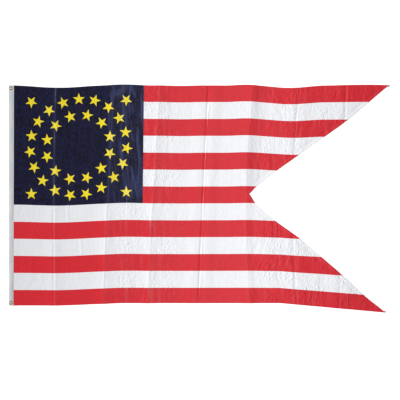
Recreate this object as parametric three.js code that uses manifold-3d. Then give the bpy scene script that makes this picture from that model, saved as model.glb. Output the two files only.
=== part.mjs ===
// A swallowtail flag of printed polyester, lying flat with its fold creases still standing.
//
// Units are millimetres. +X runs from the hoist edge to the tails, +Y runs up the hoist and +Z is up,
// away from the surface that the flag lies on. The origin is the bottom centre of the whole flag.
//
// While it is built, x is measured from the hoist edge and y from the middle of the hoist.

import * as THREE from 'three';
import { mergeVertices } from 'three/addons/utils/BufferGeometryUtils.js';
import Module from 'manifold-3d';

const { lerp, smoothstep } = THREE.MathUtils;

// ---- driving dimensions -------------------------------------------------------------------------

const HOIST = 881; // height of the flag at its heading
const CLOTH_THICKNESS = 1.2;
const SEWING_GAP = 0.3; // clearance between touching pieces

const NOTCH = { x: 962, y: 6 }; // inner point of the swallowtail
const UPPER_TIP = { x: 1524, y: 443 };
const LOWER_TIP = { x: 1508, y: -469 };
const TIP_WIDTH = 6; // the hemmed tips are blunt

const TAPE_WALL = 1.0; // one side of the folded heading tape
const TAPE_WIDTH_AT_TOP = 20.5;
const TAPE_WIDTH_AT_BOTTOM = 18.5;
const CLOTH_TUCK = 1.8; // how far the cloth's edge goes in between the tape's two sides

const GROMMET_INSET = 8.3; // from the hoist edge to a grommet's centre
const GROMMET_FROM_END = 11.5; // from an end of the heading to a grommet's centre
const GROMMET_HOLE_RADIUS = 4.0;
const GROMMET_BARREL_RADIUS = 4.7;
const GROMMET_FLANGE_RADIUS = 7.7;
const GROMMET_FLANGE_THICKNESS = 0.8;
const GROMMET_STAND = 0.5; // how far the top flange stands above the tape
const GROMMET_ROUNDING = 0.35;

// Ripples of an edge: each is a cosine bell with its middle, its half width and its rise.
const TOP_RIPPLES = [
  { at: 200, reach: 190, rise: -9 },
  { at: 470, reach: 110, rise: 4 },
  { at: 690, reach: 90, rise: -1.5 },
  { at: 945, reach: 80, rise: 3 },
  { at: 1125, reach: 150, rise: -9.5 },
  { at: 1430, reach: 180, rise: 3 },
];
const UPPER_NOTCH_RIPPLES = [
  { at: 1040, reach: 180, rise: 8 },
  { at: 1350, reach: 190, rise: -10 },
];
const LOWER_NOTCH_RIPPLES = [
  { at: 1030, reach: 170, rise: -18 },
  { at: 1430, reach: 75, rise: -5 },
];
const NOTCH_RIPPLES_START = 27; // past the notch's point, where its edges' ripples are at full size

// The bottom edge climbs behind the canton, then droops along the lower tail.
const BOTTOM_CLIMB = { from: 180, to: 480, rise: 9.5 };
const BOTTOM_DROOP = { from: 1085, slope: 0.09 };

// Fold creases, each given by its x at the top edge, at mid height and at the bottom edge, and by how
// far it reaches towards the hoist and towards the tails. A ridge stands as one soft crest. A trough
// lies on the surface between two low swells.
const CREASES = [
  { x: [187, 180, 183], height: 3.0, reach: [55, 55], form: 'ridge' },
  { x: [420, 398, 380], height: 4.5, reach: [62, 62], form: 'ridge' },
  { x: [605, 577, 555], height: 4.0, reach: [58, 58], form: 'ridge' },
  { x: [800, 777, 759], height: 2.2, reach: [66, 66], form: 'trough' },
  { x: [980, 948, 964], height: 3.0, reach: [95, 42], form: 'ridge' },
  { x: [1166, 1135, 1155], height: 1.2, reach: [60, 60], form: 'trough' },
  { x: [1350, 1335, 1322], height: 1.2, reach: [58, 58], form: 'trough' },
];
const CREASE_UNEVENNESS = 0.2; // share of a crease's height that comes and goes along it
const CREASE_WAVE = 310; // distance over which it comes and goes
const TAPE_RAMP = 28; // the cloth comes down from the tape to the surface over this distance

// ---- the cloth's grid ---------------------------------------------------------------------------

const ROWS_EACH_SIDE = 10; // above and below the notch's height
const CREASE_STATIONS = [-1, -0.5, -0.2, 0, 0.2, 0.5, 1]; // in shares of a crease's reach
const TAIL_STATIONS = [1440, 1480]; // plain columns past the last crease
const FACETS_ROUND = 32; // round a grommet
const NOSE_FACETS = 6; // round the folded edge of the tape

// ---- materials ----------------------------------------------------------------------------------

const CLOTH_RED = new THREE.MeshStandardMaterial({ color: 0xc9363c, roughness: 0.6, metalness: 0 });
const TAPE_WHITE = new THREE.MeshStandardMaterial({ color: 0xe6e6e4, roughness: 0.85, metalness: 0 });
const BRASS = new THREE.MeshStandardMaterial({ color: 0xb08d4a, roughness: 0.35, metalness: 1 });

// ---- outline ------------------------------------------------------------------------------------

function rippleSum(ripples, x) {
  let sum = 0;
  for (const { at, reach, rise } of ripples) {
    const share = Math.min(Math.abs(x - at) / reach, 1);
    sum += rise * (0.5 + 0.5 * Math.cos(Math.PI * share));
  }
  return sum;
}

function topEdge(x) {
  return HOIST / 2 + rippleSum(TOP_RIPPLES, x);
}

function bottomEdge(x) {
  const climb = BOTTOM_CLIMB.rise * smoothstep(x, BOTTOM_CLIMB.from, BOTTOM_CLIMB.to);
  const droop = BOTTOM_DROOP.slope * Math.max(0, x - BOTTOM_DROOP.from);
  return climb - droop - HOIST / 2;
}

function notchEdge(x, tip, ripples) {
  const straight = lerp(NOTCH.y, tip.y, (x - NOTCH.x) / (tip.x - NOTCH.x));
  return straight + smoothstep(x, NOTCH.x, NOTCH.x + NOTCH_RIPPLES_START) * rippleSum(ripples, x);
}

// The inner edges of the two tails. Left of the notch both are the line at the notch's height,
// where the cloth's two halves meet.
function upperInnerEdge(x) {
  if (x <= NOTCH.x) return NOTCH.y;
  return Math.min(notchEdge(x, UPPER_TIP, UPPER_NOTCH_RIPPLES), topEdge(x) - TIP_WIDTH);
}

function lowerInnerEdge(x) {
  if (x <= NOTCH.x) return NOTCH.y;
  return Math.max(notchEdge(x, LOWER_TIP, LOWER_NOTCH_RIPPLES), bottomEdge(x) + TIP_WIDTH);
}

function tapeWidth(y) {
  return lerp(TAPE_WIDTH_AT_BOTTOM, TAPE_WIDTH_AT_TOP, y / HOIST + 0.5);
}

// ---- relief -------------------------------------------------------------------------------------

function creaseX(crease, y) {
  const [top, middle, bottom] = crease.x;
  const share = y / (HOIST / 2);
  const lean = (top - bottom) / 2;
  const bow = (top + bottom) / 2 - middle;
  return middle + lean * share + bow * share * share;
}

// A crease's reach on the side that a signed number points to.
function reachTowards(crease, side) {
  return side < 0 ? crease.reach[0] : crease.reach[1];
}

function creaseHeight(crease, x, y) {
  const distance = x - creaseX(crease, y);
  const share = Math.min(Math.abs(distance) / reachTowards(crease, distance), 1);
  const phase = (2 * Math.PI * (y + crease.x[0])) / CREASE_WAVE;
  const height = crease.height * (1 - CREASE_UNEVENNESS * (0.5 + 0.5 * Math.sin(phase)));
  const flank = (1 - share) ** 2;
  if (crease.form === 'ridge') return height * flank;
  const swellGain = 27 / 4; // brings the swell's top, at a third of the reach, to the full height
  return height * swellGain * share * flank;
}

// Height of the cloth's underside above the surface.
function relief(x, y) {
  const ramp = 1 - smoothstep(x, tapeWidth(y) + 1, tapeWidth(y) + TAPE_RAMP);
  const folds = CREASES.reduce((sum, crease) => sum + creaseHeight(crease, x, y), 0);
  return ramp * (TAPE_WALL + SEWING_GAP) + folds;
}

// ---- cloth --------------------------------------------------------------------------------------

// A thin closed solid whose underside is collected from grids of points.
class Sheet {
  constructor() {
    this.points = [];
    this.indexOf = new Map();
    this.triangles = [];
  }

  // Points that two grids share are kept once.
  addPoint(x, y) {
    const key = `${x.toFixed(4)} ${y.toFixed(4)}`;
    if (!this.indexOf.has(key)) {
      this.indexOf.set(key, this.points.length);
      this.points.push(new THREE.Vector3(x, y, relief(x, y)));
    }
    return this.indexOf.get(key);
  }

  addStrip(left, right) {
    for (let row = 0; row + 1 < left.length; row += 1) {
      this.triangles.push([left[row], right[row], right[row + 1]]);
      this.triangles.push([left[row], right[row + 1], left[row + 1]]);
    }
  }

  rimEdges() {
    const edges = this.triangles.flatMap(([a, b, c]) => [[a, b], [b, c], [c, a]]);
    const seen = new Set(edges.map(([from, to]) => `${from} ${to}`));
    return edges.filter(([from, to]) => !seen.has(`${to} ${from}`));
  }

  solid(thickness) {
    const count = this.points.length;
    const upperPoints = this.points.map((point) => point.clone().setZ(point.z + thickness));
    const top = this.triangles.map(([a, b, c]) => [a + count, b + count, c + count]);
    const bottom = this.triangles.map(([a, b, c]) => [a, c, b]);
    const walls = this.rimEdges().flatMap(([from, to]) => [
      [from, to, to + count],
      [from, to + count, from + count],
    ]);
    const geometry = new THREE.BufferGeometry().setFromPoints([...this.points, ...upperPoints]);
    geometry.setIndex([...top, ...bottom, ...walls].flat());
    geometry.computeVertexNormals();
    return geometry;
  }
}

// The grid's columns, from the tape to the tails: each is x as a function of y.
function gridColumns() {
  const columns = [
    (y) => tapeWidth(y) - CLOTH_TUCK,
    (y) => tapeWidth(y) + 1,
    (y) => tapeWidth(y) + TAPE_RAMP,
  ];
  for (const crease of CREASES) {
    const before = columns.at(-1);
    const stations = CREASE_STATIONS.map((share) => {
      const offset = share * reachTowards(crease, share);
      return (y) => creaseX(crease, y) + offset;
    });
    columns.push((y) => (before(y) + stations[0](y)) / 2, ...stations);
  }
  columns.push(...TAIL_STATIONS.map((x) => () => x));
  return columns;
}

// The grid needs a column that passes through the notch's point, between its two neighbours there.
function insertNotchColumn(columns) {
  const next = columns.findIndex((column) => column(NOTCH.y) > NOTCH.x);
  const [before, after] = [columns[next - 1], columns[next]];
  const share = (NOTCH.x - before(NOTCH.y)) / (after(NOTCH.y) - before(NOTCH.y));
  columns.splice(next, 0, (y) => lerp(before(y), after(y), share));
}

// The y at which a column meets an edge.
function meetingY(column, edge) {
  let y = edge(column(0));
  for (let pass = 0; pass < 20; pass += 1) {
    y = edge(column(y));
  }
  return y;
}

// One half of the cloth, between a lower and an upper edge that are both functions of x.
function addHalf(sheet, columns, lowerEdge, upperEdge) {
  const strips = columns.map((column) => {
    const low = meetingY(column, lowerEdge);
    const high = meetingY(column, upperEdge);
    return Array.from({ length: ROWS_EACH_SIDE + 1 }, (_, row) => {
      const y = lerp(low, high, row / ROWS_EACH_SIDE);
      return sheet.addPoint(column(y), y);
    });
  });
  for (let index = 1; index < strips.length; index += 1) {
    sheet.addStrip(strips[index - 1], strips[index]);
  }
}

function makeCloth() {
  const columns = gridColumns();
  insertNotchColumn(columns);
  const sheet = new Sheet();
  addHalf(sheet, [...columns, () => UPPER_TIP.x], upperInnerEdge, topEdge);
  addHalf(sheet, [...columns, () => LOWER_TIP.x], bottomEdge, lowerInnerEdge);
  const mesh = new THREE.Mesh(sheet.solid(CLOTH_THICKNESS), CLOTH_RED);
  mesh.name = 'cloth';
  return mesh;
}

// ---- heading ------------------------------------------------------------------------------------

const TAPE_SLOT = CLOTH_THICKNESS + 2 * SEWING_GAP;
const TAPE_HEIGHT = 2 * TAPE_WALL + TAPE_SLOT;

// Section of the folded tape across the hoist, in x and z: a rounded fold, and a slot for the cloth.
function makeTapeSection() {
  const nose = TAPE_HEIGHT / 2;
  const slotStart = TAPE_WIDTH_AT_BOTTOM - CLOTH_TUCK - SEWING_GAP;
  const section = new THREE.Shape();
  section.moveTo(TAPE_WIDTH_AT_BOTTOM, TAPE_HEIGHT);
  section.lineTo(nose, TAPE_HEIGHT);
  section.absarc(nose, nose, nose, Math.PI / 2, Math.PI * 1.5, false);
  section.lineTo(TAPE_WIDTH_AT_BOTTOM, 0);
  section.lineTo(TAPE_WIDTH_AT_BOTTOM, TAPE_WALL);
  section.lineTo(slotStart, TAPE_WALL);
  section.lineTo(slotStart, TAPE_WALL + TAPE_SLOT);
  section.lineTo(TAPE_WIDTH_AT_BOTTOM, TAPE_WALL + TAPE_SLOT);
  section.closePath();
  return section;
}

// The tape is a little wider towards the top of the hoist, all of it on the side of the cloth.
function widenTowardsTop(geometry) {
  const position = geometry.attributes.position;
  for (let index = 0; index < position.count; index += 1) {
    const x = position.getX(index);
    if (x > TAPE_HEIGHT) {
      const extra = tapeWidth(position.getY(index)) - TAPE_WIDTH_AT_BOTTOM;
      position.setX(index, x + extra);
    }
  }
}

function toManifold(wasm, geometry) {
  const bare = geometry.clone();
  bare.deleteAttribute('normal');
  bare.deleteAttribute('uv');
  const merged = mergeVertices(bare);
  return new wasm.Manifold(new wasm.Mesh({
    numProp: 3,
    vertProperties: merged.attributes.position.array,
    triVerts: new Uint32Array(merged.index.array),
  }));
}

function toGeometry(manifold) {
  const mesh = manifold.getMesh();
  const geometry = new THREE.BufferGeometry();
  geometry.setAttribute('position', new THREE.BufferAttribute(mesh.vertProperties, 3));
  geometry.setIndex(new THREE.BufferAttribute(mesh.triVerts, 1));
  geometry.computeVertexNormals();
  return geometry;
}

// What a grommet needs of the tape: a hole for its barrel, and the two seats that its flanges press.
function makeGrommetRoom(y) {
  const barrel = GROMMET_BARREL_RADIUS + SEWING_GAP;
  const flange = GROMMET_FLANGE_RADIUS + SEWING_GAP;
  const lowerSeat = GROMMET_FLANGE_THICKNESS + SEWING_GAP;
  const upperSeat = TAPE_HEIGHT + GROMMET_STAND - GROMMET_FLANGE_THICKNESS - SEWING_GAP;
  const past = 1; // the cutter reaches past both sides of the tape
  const profile = [
    [0, -past], [flange, -past], [flange, lowerSeat], [barrel, lowerSeat],
    [barrel, upperSeat], [flange, upperSeat], [flange, TAPE_HEIGHT + past], [0, TAPE_HEIGHT + past],
  ].map(([radius, height]) => new THREE.Vector2(radius, height));
  const room = new THREE.LatheGeometry(profile, FACETS_ROUND);
  return room.rotateX(Math.PI / 2).translate(GROMMET_INSET, y, 0);
}

function makeHeading(wasm, grommetYs) {
  const tape = new THREE.ExtrudeGeometry(makeTapeSection(), {
    depth: HOIST,
    bevelEnabled: false,
    curveSegments: NOSE_FACETS,
  });
  tape.rotateX(Math.PI / 2).translate(0, HOIST / 2, 0); // the section's z stands up, its depth runs down y
  widenTowardsTop(tape);
  let solid = toManifold(wasm, tape);
  for (const y of grommetYs) {
    solid = solid.subtract(toManifold(wasm, makeGrommetRoom(y)));
  }
  const mesh = new THREE.Mesh(toGeometry(solid), TAPE_WHITE);
  mesh.name = 'heading';
  return mesh;
}

// ---- grommets -----------------------------------------------------------------------------------

// A barrel with a flat flange at each end, as one clinched piece standing on z = 0.
function makeGrommet(name, y) {
  const top = TAPE_HEIGHT + GROMMET_STAND;
  const hole = GROMMET_HOLE_RADIUS;
  const barrel = GROMMET_BARREL_RADIUS;
  const flange = GROMMET_FLANGE_RADIUS;
  const thickness = GROMMET_FLANGE_THICKNESS;
  const round = GROMMET_ROUNDING;
  const profile = [
    [hole + round, 0], [flange - round, 0], [flange, round], [flange, thickness],
    [barrel, thickness], [barrel, top - thickness],
    [flange, top - thickness], [flange, top - round], [flange - round, top],
    [hole + round, top], [hole, top - round], [hole, round], [hole + round, 0],
  ].map(([radius, height]) => new THREE.Vector2(radius, height));
  const mesh = new THREE.Mesh(new THREE.LatheGeometry(profile, FACETS_ROUND), BRASS);
  mesh.name = name;
  mesh.rotation.x = Math.PI / 2;
  mesh.position.set(GROMMET_INSET, y, 0);
  return mesh;
}

// ---- the flag -----------------------------------------------------------------------------------

const wasm = await Module();
wasm.setup();

const grommetY = HOIST / 2 - GROMMET_FROM_END;
const flag = new THREE.Group();
flag.add(makeCloth());
flag.add(makeHeading(wasm, [grommetY, -grommetY]));
flag.add(makeGrommet('grommet_top', grommetY));
flag.add(makeGrommet('grommet_bottom', -grommetY));

// The origin goes to the bottom centre of the whole flag.
const box = new THREE.Box3().setFromObject(flag, true);
const centre = box.getCenter(new THREE.Vector3());
flag.position.set(-centre.x, -centre.y, -box.min.z);

export default flag;
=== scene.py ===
"""A swallowtail flag of printed polyester, lying flat with its fold creases still standing.

Lengths are metres in the frame of the CAD model: +X runs from the hoist edge to the tails, +Y up
the hoist and +Z away from the surface. The flag's pattern is drawn from the hoist edge and the
middle of the hoist, as the CAD model's is, and moved to its place when a mesh is made.
"""

import math

import bpy
import numpy as np
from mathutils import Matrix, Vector, noise
from mathutils.geometry import delaunay_2d_cdt


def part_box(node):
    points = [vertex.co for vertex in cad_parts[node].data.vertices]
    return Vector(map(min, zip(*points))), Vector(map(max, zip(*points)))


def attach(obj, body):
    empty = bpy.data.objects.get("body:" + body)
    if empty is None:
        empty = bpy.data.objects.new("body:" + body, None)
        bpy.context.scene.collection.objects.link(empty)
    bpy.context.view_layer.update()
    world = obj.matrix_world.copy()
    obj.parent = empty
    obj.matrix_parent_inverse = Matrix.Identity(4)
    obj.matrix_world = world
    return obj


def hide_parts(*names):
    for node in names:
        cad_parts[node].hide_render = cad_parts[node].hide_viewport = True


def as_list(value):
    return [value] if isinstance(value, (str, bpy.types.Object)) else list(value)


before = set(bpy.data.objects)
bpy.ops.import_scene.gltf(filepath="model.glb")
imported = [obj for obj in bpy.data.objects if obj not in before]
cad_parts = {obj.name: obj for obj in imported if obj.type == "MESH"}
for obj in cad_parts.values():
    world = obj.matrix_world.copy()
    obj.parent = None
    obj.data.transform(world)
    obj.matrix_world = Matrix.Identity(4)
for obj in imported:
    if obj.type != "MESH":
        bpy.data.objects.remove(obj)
bpy.context.view_layer.update()
HEADING_LOW, HEADING_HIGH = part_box("heading")

# ---- the CAD model's dimensions ----

HOIST = HEADING_HIGH[1] - HEADING_LOW[1]
HOIST_MIDDLE = (HEADING_LOW[1] + HEADING_HIGH[1]) / 2
HOIST_EDGE = Vector((HEADING_LOW[0], HOIST_MIDDLE, 0))  # the pattern's origin

NOTCH_X, NOTCH_Y = 0.962, 0.006
UPPER_TIP_X, UPPER_TIP_Y = 1.524, 0.443
LOWER_TIP_X, LOWER_TIP_Y = 1.508, -0.469
TIP_WIDTH = 0.006

# Ripples of an edge: the middle, half width and rise of each cosine bell.
TOP_RIPPLES = (
    (0.2, 0.19, -0.009),
    (0.47, 0.11, 0.004),
    (0.69, 0.09, -0.0015),
    (0.945, 0.08, 0.003),
    (1.125, 0.15, -0.0095),
    (1.43, 0.18, 0.003),
)
UPPER_NOTCH_RIPPLES = ((1.04, 0.18, 0.008), (1.35, 0.19, -0.01))
LOWER_NOTCH_RIPPLES = ((1.03, 0.17, -0.018), (1.43, 0.075, -0.005))
NOTCH_RIPPLES_START = 0.027
BOTTOM_CLIMB_FROM, BOTTOM_CLIMB_TO, BOTTOM_CLIMB = 0.18, 0.48, 0.0095
BOTTOM_DROOP_FROM, BOTTOM_DROOP_SLOPE = 1.085, 0.09

# Fold creases: x at the top edge, mid height and the bottom edge, height, reach to each side, and
# whether the crease stands as a ridge or lies between two swells.
CREASES = (
    ((0.187, 0.18, 0.183), 0.003, (0.055, 0.055), True),
    ((0.42, 0.398, 0.38), 0.0045, (0.062, 0.062), True),
    ((0.605, 0.577, 0.555), 0.004, (0.058, 0.058), True),
    ((0.8, 0.777, 0.759), 0.0022, (0.066, 0.066), False),
    ((0.98, 0.948, 0.964), 0.003, (0.095, 0.042), True),
    ((1.166, 1.135, 1.155), 0.0012, (0.06, 0.06), False),
    ((1.35, 1.335, 1.322), 0.0012, (0.058, 0.058), False),
)
# Pressed lines beside a crease: which crease, the distance from it, height (below 0 for a groove)
# and reach.
PRESSED_LINES = (
    (0, -0.0012, -0.0022, 0.0058),
    (1, -0.0044, 0.0009, 0.005),
    (1, 0.0026, -0.0009, 0.0045),
    (2, 0.0, 0.0006, 0.0075),
    (2, 0.0375, 0.0004, 0.007),
    (3, -0.007, 0.0008, 0.007),
    (3, 0.0044, 0.0018, 0.0044),
    (4, 0.0145, 0.0006, 0.0145),
    (5, -0.0105, 0.0004, 0.0105),
    (5, 0.007, 0.0007, 0.007),
    (6, -0.0105, 0.0004, 0.0105),
    (6, 0.007, 0.0007, 0.007),
)
# Short wrinkles in and below the canton: x and y of both ends, half width and height.
SHORT_WRINKLES = (
    (0.436, 0.405, 0.466, 0.432, 0.01, 0.0009),
    (0.411, 0.402, 0.436, 0.416, 0.009, 0.0007),
    (0.49, 0.43, 0.503, 0.403, 0.006, 0.0008),
    (0.494, 0.362, 0.495, 0.33, 0.0042, 0.0007),
    (0.417, 0.395, 0.414, 0.368, 0.0042, 0.0008),
    (0.402, 0.328, 0.4, 0.268, 0.0038, 0.0006),
    (0.471, 0.11, 0.483, 0.036, 0.005, 0.0008),
    (0.489, 0.113, 0.514, 0.000, 0.005, 0.0008),
    (0.53, 0.153, 0.53, 0.049, 0.0045, 0.0006),
    (0.236, -0.036, 0.235, -0.104, 0.004, 0.0008),
    (0.287, -0.178, 0.29, -0.232, 0.004, 0.0013),
    (0.129, -0.318, 0.131, -0.342, 0.004, 0.0007),
)
SHORT_WRINKLE_HIGHLIGHT = 1300.0  # painted highlight along a short wrinkle, for each metre of its height
PRESSED_WEAR, PRESSED_WAVE = 0.25, 0.173  # share of a line that comes and goes along it, and how fast
CREASE_UNEVENNESS = 0.2
CREASE_WAVE = 0.31
TAPE_RAMP = 0.028

TAPE_WIDTH_AT_TOP, TAPE_WIDTH_AT_BOTTOM = 0.0205, 0.0185
TAPE_HEIGHT = HEADING_HIGH[2]
CLOTH_TUCK = 0.0018
GROMMET_INSET, GROMMET_FROM_END = 0.0083, 0.0115
GROMMET_YS = (HOIST / 2 - GROMMET_FROM_END, GROMMET_FROM_END - HOIST / 2)

# ---- what the visual model adds ----

CLOTH_THICKNESS = 0.00042
HEM_WIDTH = 0.009
HEM_GAP = 0.00006  # air between the hem's two layers
HEM_FALL = 0.0028  # past the hem the cloth comes down over this distance
HEM_STITCH_LINE = 0.0072  # from the finished edge
HEM_SHARE_OF_TAIL = 0.42  # at most, where a tail gets narrow
TAPE_THICKNESS = 0.0009
TAPE_LIFT = 0.0011  # underside of the cloth in the heading
STITCH_BELOW = 0.00012  # the cloth and the tape lie on the stitches under them

TOP_STRIPE = 0.0673  # visible height of the first stripe
STRIPE_PITCH = 0.0683
STRIPES = 13
CANTON_STRIPES = 7
CANTON_EDGE_AT_TOP, CANTON_EDGE_AT_BOTTOM = 0.541, 0.536

STAR_RADIUS = 0.0248
STAR_WAIST = 0.39  # of the radius, where two points of a star meet
RING_CENTRE = (0.279, 0.1968)
STARS_LEAN = 0.025  # the print leans as the creases do
RING_TURN = -1.0  # degrees, clockwise from straight up
RINGS = ((19, 0.1938, 0.0), (12, 0.13, 15.0))  # stars, radius, extra turn
CORNER_STARS = (0.28, 0.1925, 0.19, 0.185)  # middle x and y, then half the spacing each way

COLUMN_STEP = 0.0042
ROWS_IN_A_STRIPE = 8
NEAR_CREASE = (0.0, 0.0012, 0.0026, 0.0044, 0.007, 0.0105, 0.0145)  # columns next to a crease
CREST_ROUNDING = 0.0008


# ---- outline ----


def smoothstep(x, low, high):
    share = np.clip((np.asarray(x, float) - low) / (high - low), 0, 1)
    return share * share * (3 - 2 * share)


def ripple_sum(ripples, x):
    total = np.zeros_like(np.asarray(x, float))
    for at, reach, rise in ripples:
        share = np.minimum(np.abs(x - at) / reach, 1)
        total = total + rise * (0.5 + 0.5 * np.cos(math.pi * share))
    return total


def top_shift(x):
    return ripple_sum(TOP_RIPPLES, x)


def bottom_shift(x):
    climb = BOTTOM_CLIMB * smoothstep(x, BOTTOM_CLIMB_FROM, BOTTOM_CLIMB_TO)
    return climb - BOTTOM_DROOP_SLOPE * np.maximum(0, x - BOTTOM_DROOP_FROM)


def top_edge(x):
    return HOIST / 2 + top_shift(x)


def bottom_edge(x):
    return bottom_shift(x) - HOIST / 2


def notch_edge(x, tip_x, tip_y, ripples):
    straight = NOTCH_Y + (tip_y - NOTCH_Y) * (x - NOTCH_X) / (tip_x - NOTCH_X)
    return straight + smoothstep(x, NOTCH_X, NOTCH_X + NOTCH_RIPPLES_START) * ripple_sum(ripples, x)


def upper_notch_edge(x):
    edge = notch_edge(x, UPPER_TIP_X, UPPER_TIP_Y, UPPER_NOTCH_RIPPLES)
    return np.minimum(edge, top_edge(x) - TIP_WIDTH)


def lower_notch_edge(x):
    edge = notch_edge(x, LOWER_TIP_X, LOWER_TIP_Y, LOWER_NOTCH_RIPPLES)
    return np.maximum(edge, bottom_edge(x) + TIP_WIDTH)


def tape_width(y):
    return TAPE_WIDTH_AT_BOTTOM + (TAPE_WIDTH_AT_TOP - TAPE_WIDTH_AT_BOTTOM) * (y / HOIST + 0.5)


def printed_to_laid(x, v):
    """y of a point that was printed at height v, now that the cloth's edges have sagged."""
    share = v / HOIST + 0.5
    return v + bottom_shift(x) * (1 - share) + top_shift(x) * share


def laid_to_printed(x, y):
    low, high = bottom_shift(x), top_shift(x)
    return (y - (low + high) / 2) / (1 + (high - low) / HOIST)


# ---- relief ----


def crease_x(crease, y):
    top, middle, bottom = crease[0]
    share = y / (HOIST / 2)
    return middle + (top - bottom) / 2 * share + ((top + bottom) / 2 - middle) * share**2


def crease_height(crease, x, y):
    places, height, (reach_to_hoist, reach_to_tails), is_ridge = crease
    beside = x - crease_x(crease, y)
    distance = np.hypot(beside, CREST_ROUNDING) - CREST_ROUNDING
    share = np.minimum(distance / np.where(beside < 0, reach_to_hoist, reach_to_tails), 1)
    phase = 2 * math.pi * (y + places[0]) / CREASE_WAVE
    height = height * (1 - CREASE_UNEVENNESS * (0.5 + 0.5 * np.sin(phase)))
    flank = (1 - share) ** 2
    return height * flank if is_ridge else height * 27 / 4 * share * flank


def pressed_height(x, y):
    """Straight-sided ridges and grooves that the pressed folds left."""
    total = np.zeros_like(x)
    for which, offset, height, reach in PRESSED_LINES:
        distance = np.abs(x - crease_x(CREASES[which], y) - offset)
        phase = 2 * math.pi * (y / PRESSED_WAVE + offset * 90 + which)  # no two lines fade together
        wear_and_highlight = 1 - PRESSED_WEAR + PRESSED_WEAR * np.sin(phase)
        total += height * wear_and_highlight * np.maximum(0, 1 - distance / reach)
    return total


def short_wrinkles(x, y):
    total = np.zeros_like(x)
    for x1, y1, x2, y2, half_width, height in SHORT_WRINKLES:
        run_x, run_y = x2 - x1, y2 - y1
        share = np.clip(((x - x1) * run_x + (y - y1) * run_y) / (run_x**2 + run_y**2), 0, 1)
        distance = np.hypot(x - x1 - share * run_x, y - y1 - share * run_y)
        total += height * np.exp(-((distance / half_width) ** 2))
    return total


CRINKLED_BAND = (0.38, 0.46), (0.62, 0.74)  # its soft sides, about the canton's fly edge
CRINKLED_TAILS = (0.95, 1.05)  # where they start
CALM_RADIUS = 0.1


def crinkle_strength(x, y):
    """How crinkled the cloth is: most beside the canton's fly edge, least in the ring of stars."""
    band = smoothstep(x, *CRINKLED_BAND[0]) * (1 - smoothstep(x, *CRINKLED_BAND[1]))
    away = ((x - RING_CENTRE[0]) / CALM_RADIUS) ** 2 + ((y - RING_CENTRE[1]) / CALM_RADIUS) ** 2
    return (0.35 + 0.65 * band + 0.65 * smoothstep(x, *CRINKLED_TAILS)) * (1 - np.exp(-away))


CRINKLE_HEIGHT = 0.0013
CRINKLE_PITCH = 0.0125  # from one fine wrinkle to the next
CRINKLE_RUN, COARSE_RUN = 0.06, 0.11  # how far a wrinkle runs up the hoist
CRINKLE_SWAY, SWAY_LENGTH = 1.75, 0.09  # how far the wrinkles wander, in pitches, and over what run
COARSE_PITCH = 0.43  # coarse wrinkles for each fine one
CRINKLE_FREE_RIM, CRINKLE_FULL = 0.009, 0.03  # from a hemmed edge, whose hem stays smooth


def crinkle(x, y):
    """Short sharp folds that mostly run up the hoist, in fractions of their height."""
    sway = CRINKLE_SWAY * noise.noise(Vector((x / SWAY_LENGTH, y / SWAY_LENGTH, 3.1)))
    slant = 0.25 * y / CRINKLE_PITCH * noise.noise(Vector((x / 0.2, y / 0.15, 7.7)))
    across = x / CRINKLE_PITCH + sway + slant
    fine = noise.noise(Vector((across, y / CRINKLE_RUN, 0.0)))
    coarse = noise.noise(Vector((across * COARSE_PITCH, y / COARSE_RUN, 5.0)))
    return (1 - 2 * abs(fine)) * 0.45 + (1 - 2 * abs(coarse)) * 0.55


def relief(x, y):
    """Height of the cloth's underside, without what its hems add."""
    tape_edge = tape_width(y)
    ramp = 1 - smoothstep(x, tape_edge + 0.001, tape_edge + TAPE_RAMP)
    folds = sum(crease_height(crease, x, y) for crease in CREASES)
    rough = np.array([crinkle(a, b) for a, b in zip(x, y)])
    single = smoothstep(hem_distance(x, y), CRINKLE_FREE_RIM, CRINKLE_FULL)
    single *= smoothstep(x, tape_edge, tape_edge + 0.02)
    wrinkles = CRINKLE_HEIGHT * crinkle_strength(x, y) * np.maximum(0, 0.5 + rough) * single
    pressed = np.maximum(0, folds + pressed_height(x, y))
    return ramp * TAPE_LIFT + pressed + wrinkles + short_wrinkles(x, y)


# ---- sheets ----


def vertex_normals(points, triangles):
    a, b, c = (points[triangles[:, k]] for k in range(3))
    face_normals = np.cross(b - a, c - a)
    normals = np.zeros_like(points)
    for k in range(3):
        np.add.at(normals, triangles[:, k], face_normals)
    return normals / np.linalg.norm(normals, axis=1)[:, None]


def rim_edges(triangles):
    """The edges that only one triangle has, each in that triangle's direction."""
    edges = np.vstack([triangles[:, [0, 1]], triangles[:, [1, 2]], triangles[:, [2, 0]]])
    owner = np.tile(np.arange(len(triangles)), 3)
    size = triangles.max() + 1
    keys = edges[:, 0] * size + edges[:, 1]
    alone = ~np.isin(keys, edges[:, 1] * size + edges[:, 0])
    return edges[alone], owner[alone]


def thicken(points, triangles, thickness):
    """A closed sheet about a middle surface: its points, its triangles and each one's source."""
    normals = vertex_normals(points, triangles)
    count = len(points)
    both = np.vstack([points + normals * thickness / 2, points - normals * thickness / 2])
    edges, owner = rim_edges(triangles)
    a, b = edges[:, 0], edges[:, 1]
    walls_one = np.column_stack([a, a + count, b + count])
    walls_two = np.column_stack([a, b + count, b])
    closed = np.vstack([triangles, triangles[:, ::-1] + count, walls_one, walls_two])
    faces = np.arange(len(triangles))
    source = np.concatenate([faces, faces, owner, owner])
    return both, closed, source


def add_object(name, data):
    made = bpy.data.objects.new(name, data)
    bpy.context.scene.collection.objects.link(made)
    return made


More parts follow.
